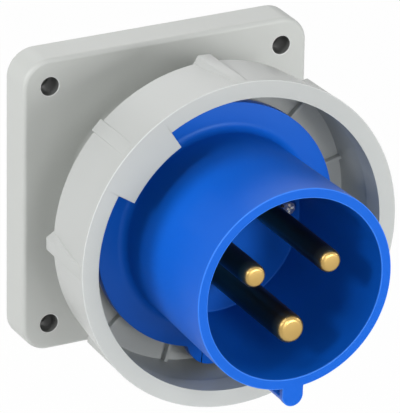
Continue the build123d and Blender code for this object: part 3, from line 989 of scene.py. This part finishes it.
@dataclass
class ShroudInsert:
    """Hub, disc with its lobe, and the cup around the pins with the key along its underside."""

    floor_back: float = 48.4
    spigot_back: float = 30.3
    spigot_bore: float = 30.2
    spigot_radius: float = 32.6
    hub_back: float = 39.7
    hub_radius: float = 37.0
    seal_inner: float = 33.75
    seal_outer: float = 36.15
    seal_depth: float = 1.6
    disc_back: float = 47.4
    disc_front: float = 50.9
    disc_radius: float = 43.84
    lobe_centre: float = 41.0
    lobe_radius: float = 10.0
    lobe_blend: float = 1.2
    lobe_flank: tuple[float, float] = (11.0, 15.5)
    lobe_pitch: float = 1.2
    flank_pitch: float = 0.3
    pitch: float = 1.5
    root_radius: float = 34.0
    root_fillet: float = 3.0
    root_facets: int = 6
    mouth_radius: float = 35.5
    mouth_front: float = 107.7
    bore_radius: float = 32.0
    floor_radius: float = 30.9
    floor_front: float = 52.4
    floor_fillet: float = 0.5
    floor_facets: int = 4
    key_width: float = 7.6
    key_reach: float = 42.2
    key_plate: float = 2.1
    key_web_inset: float = 0.2
    key_web_hollow: float = 1.3
    key_facets: int = 14
    edges: Rounding = Rounding(0.5, 4, 40.0)
    rim: Rounding = Rounding(0.35, 4, 40.0)

    def build(self) -> None:
        """Builds the insert."""
        insert = piece_of("shroud", self.mesh(), Body.INLET, Finish.BLUE_PLASTIC)
        round_front(insert, self.mouth_front, self.rim, Finish.BLUE_PLASTIC)
        soften(insert, self.edges, Shading.HARDENED)
        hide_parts("shroud_insert")

    def key_zone(self) -> float:
        """Returns half of the angle that the key takes up at the cup's root."""
        return math.degrees(math.asin(self.key_width / 2 / self.root_radius))

    def angles(self) -> list[float]:
        """Spreads the places of an outline, closer together at the key and where the lobe meets the disc."""
        zone, (low, high) = self.key_zone(), self.lobe_flank
        side = steps(zone, low, self.lobe_pitch) + steps(low, high, self.flank_pitch) + steps(high, 180.0, self.pitch)
        key = [zone * (index / self.key_facets - 1.0) for index in range(1, 2 * self.key_facets)]
        return [180.0 + a for a in key] + [180.0 + a for a in side] + [360.0] + [540.0 - a for a in reversed(side)]

    def disc(self, angles: list[float]) -> Outline:
        """Returns the disc's outline: a circle with a round lobe at 6 o'clock."""
        outline: Outline = []
        for angle in angles:
            off = math.radians(angle - 180.0)
            inside = self.lobe_radius**2 - (self.lobe_centre * math.sin(off)) ** 2
            lobe = self.lobe_centre * math.cos(off) + math.sqrt(max(inside, 0.0))
            if math.cos(off) < 0:
                lobe = 0.0
            gap = max(self.lobe_blend - abs(lobe - self.disc_radius), 0.0)
            outline.append(spot(max(lobe, self.disc_radius) + gap**2 / (4 * self.lobe_blend), angle))
        return outline

    def keyed(self, angles: list[float], radius: float, web: bool) -> Outline:
        """Returns the cup's outline: a circle with the key, whose edge is round, at 6 o'clock.

        Args:
            angles: Angle of each place.
            radius: Radius of the cup at this distance.
            web: Whether this is the slighter web behind the key's front plate, which has hollow sides.

        Returns:
            The outline. The places over the key are spread along its two sides and its round edge.
        """
        half = self.key_width / 2 - (self.key_web_inset if web else 0.0)
        centre = self.key_reach - self.key_width / 2
        hollow = self.key_web_hollow if web else 0.0
        zone = self.key_zone()
        foot = math.sqrt(radius**2 - half**2)
        side = max(centre - foot, 0.0)
        length = side + half * math.pi / 2
        outline: Outline = []
        for angle in angles:
            off = angle - 180.0
            if abs(off) > zone + ROUND_OFF:
                outline.append(spot(radius, angle))
                continue
            along = (1.0 - abs(off) / zone) * length
            sign = -1.0 if off > 0 else 1.0
            if along <= side:
                waist = half - hollow * math.sin(math.pi * along / side) if side else half
                outline.append((sign * waist, -(foot + along)))
                continue
            bend = (along - side) / half
            outline.append((sign * half * math.cos(bend), -(centre + half * math.sin(bend))))
        return outline

    def mesh(self) -> Mesh:
        """Builds the insert's skin from the back of the floor, over the outside, to the floor's front."""
        angles = self.angles()
        skin = Skin("shroud")
        skin.turn(
            angles,
            (self.spigot_bore, self.floor_back),
            (self.spigot_bore, self.spigot_back),
            (self.spigot_radius, self.spigot_back),
            (self.spigot_radius, self.hub_back),
            (self.seal_inner, self.hub_back),
            (self.seal_inner, self.hub_back + self.seal_depth),
            (self.seal_outer, self.hub_back + self.seal_depth),
            (self.seal_outer, self.hub_back),
            (self.hub_radius, self.hub_back),
            (self.hub_radius, self.disc_back),
        )
        for distance in (self.disc_back, self.disc_front):
            skin.row(self.disc(angles), distance)
        for rise, run in quarter(self.root_facets):
            radius = self.root_radius + self.root_fillet * (1.0 - rise)
            skin.row(self.keyed(angles, radius, True), self.disc_front + self.root_fillet * (1.0 - run))
        taper = (self.mouth_radius - self.root_radius) / (self.mouth_front - self.disc_front - self.root_fillet)
        plate_radius = self.mouth_radius - taper * self.key_plate
        for web in (True, False):
            skin.row(self.keyed(angles, plate_radius, web), self.mouth_front - self.key_plate)
        skin.row(self.keyed(angles, self.mouth_radius, False), self.mouth_front)
        skin.turn(angles, (self.bore_radius, self.mouth_front))
        for rise, run in quarter(self.floor_facets):
            radius = self.floor_radius - self.floor_fillet * (1.0 - run)
            skin.turn(angles, (radius, self.floor_front + self.floor_fillet * (1.0 - rise)))
        return skin.mesh(endless=False)


@dataclass
class ContactPin:
    """One turned contact pin with its rounded tip, collar and wire terminal. The sizes are the line pin's."""

    name: str
    clock: float
    radius: float = 4.0
    tip: float = 106.5
    tip_width: float = 1.6
    tip_length: float = 2.4
    tip_facets: int = 8
    wire_radius: float = 4.2
    wire_depth: float = 23.0
    wire_edge: float = 0.5
    circle_radius: float = 15.3
    floor_front: float = 52.4
    floor_back: float = 48.4
    root_step: float = 0.6
    collar_step: float = 3.6
    collar_thickness: float = 4.0
    barrel_step: float = 2.6
    barrel_back: float = -34.0
    barrel_edge: float = 0.6
    pitch: float = 5.0

    def build(self) -> None:
        """Builds the pin."""
        angles = steps(0.0, 360.0, self.pitch)
        skin = Skin(self.name, spot(self.circle_radius, self.clock))
        root, collar, barrel = (self.radius + step for step in (self.root_step, self.collar_step, self.barrel_step))
        collar_back = self.floor_back - self.collar_thickness
        skin.turn(
            angles,
            (self.wire_radius, self.barrel_back + self.wire_depth),
            (self.wire_radius, self.barrel_back + self.wire_edge),
            (self.wire_radius + self.wire_edge, self.barrel_back),
            (barrel - self.barrel_edge, self.barrel_back),
            (barrel, self.barrel_back + self.barrel_edge),
            (barrel, collar_back),
            (collar, collar_back),
            (collar, self.floor_back),
            (root, self.floor_back),
            (root, self.floor_front),
            (self.radius, self.floor_front),
        )
        for rise, run in quarter(self.tip_facets):
            inset = self.tip_width * (1.0 - run)
            skin.turn(angles, (self.radius - inset, self.tip - self.tip_length * (1.0 - rise)))
        pin = piece_of(self.name + "_turned", skin.mesh(endless=False), Body.INLET, Finish.PIN_BRASS)
        pin.data.set_sharp_from_angle(angle=CREASE)
        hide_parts(self.name)


@dataclass
class SoftenedNode:
    """A carried-over moulding whose sharp edges are rounded a little.

    With a crisp_edge it is a square plate with round corners, whose front edge has a rounding of front_edge in the
    node and of crisp_edge in the copy.
    """

    node: str
    finish: Finish
    edges: Rounding = Rounding(0.3, 2, 38.0)
    rim: Rounding = Rounding(0.3, 3, 38.0)
    flatness: float = 0.4
    corner: float = 0.0
    front: float = 0.0
    front_edge: float = 0.0
    crisp_edge: float = 0.0

    def tighten(self, sheet: bmesh.types.BMesh) -> None:
        """Draws the facets of the plate's front edge to its corner, which gives the edge a smaller rounding.

        Args:
            sheet: The copy.
        """
        half = max(abs(vert.co.x) for vert in sheet.verts)
        corner, edge = self.corner * MM, self.front_edge * MM
        share = self.crisp_edge / self.front_edge
        core = half - corner
        for vert in sheet.verts:
            depth = self.front * MM + vert.co.y
            inner_x, inner_z = (max(-core, min(core, value)) for value in (vert.co.x, vert.co.z))
            out_x, out_z = vert.co.x - inner_x, vert.co.z - inner_z
            reach = math.hypot(out_x, out_z)
            inset = corner - reach
            if reach < NEAR or inset > edge + NEAR or not -NEAR <= depth <= edge + NEAR:
                continue
            grown = (corner - inset * share) / reach
            vert.co.x, vert.co.z = inner_x + out_x * grown, inner_z + out_z * grown
            vert.co.y = depth * share - self.front * MM

    def build(self) -> None:
        """Copies the node, merges the copy's doubled points and flat faces, and rounds its edges."""
        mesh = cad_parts[self.node].data.copy()
        sheet = bmesh.new()
        sheet.from_mesh(mesh)
        bmesh.ops.remove_doubles(sheet, verts=sheet.verts, dist=NEAR)
        if self.crisp_edge:
            self.tighten(sheet)
        limit = math.radians(self.flatness)
        bmesh.ops.dissolve_limit(sheet, angle_limit=limit, verts=sheet.verts, edges=sheet.edges)
        sheet.to_mesh(mesh)
        sheet.free()
        piece = piece_of(self.node + "_moulding", mesh, Body.INLET, self.finish)
        if self.crisp_edge:
            round_front(piece, self.front, self.rim, self.finish)
        soften(piece, self.edges, Shading.WEIGHTED)
        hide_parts(self.node)


@dataclass
class CarriedNodes:
    """The CAD nodes whose shape stays, dressed in their finishes."""

    nodes: dict[Finish, tuple[str, ...]] = field(
        default_factory=lambda: {
            Finish.SEAL_RUBBER: ("panel_gasket", "hub_seal", "line_pin_seals", "earth_pin_seal"),
            Finish.SCREW_STEEL: ("terminal_screws", "insert_screws"),
            Finish.INSERT_BRASS: ("threaded_inserts",),
        }
    )

    def build(self) -> None:
        """Puts each node's finish on it."""
        for finish, names in self.nodes.items():
            for name in names:
                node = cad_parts[name]
                node.data.materials.clear()
                node.data.materials.append(Wardrobe.material(finish))
                log.info("%s stays and wears %s", name, finish.name.lower())


def main() -> None:
    """Builds the studio and the inlet's pieces in order."""
    logging.basicConfig(level=logging.INFO, format="%(name)s: %(message)s")
    assemblies = (
        Studio(),
        LockingRing(),
        ShroudInsert(),
        ContactPin("line_pin", clock=295.0),
        ContactPin("neutral_pin", clock=65.0),
        ContactPin("earth_pin", clock=180.0, radius=5.0, tip=106.3, tip_width=2.0, tip_length=2.6, wire_radius=4.8),
        SoftenedNode("flange_housing", Finish.GREY_PLASTIC, corner=9.5, front=13.2, front_edge=3.0, crisp_edge=1.6),
        SoftenedNode("contact_carrier", Finish.CARRIER_PLASTIC),
        CarriedNodes(),
    )
    for assembly in assemblies:
        assembly.build()


if __name__ == "__main__":
    main()
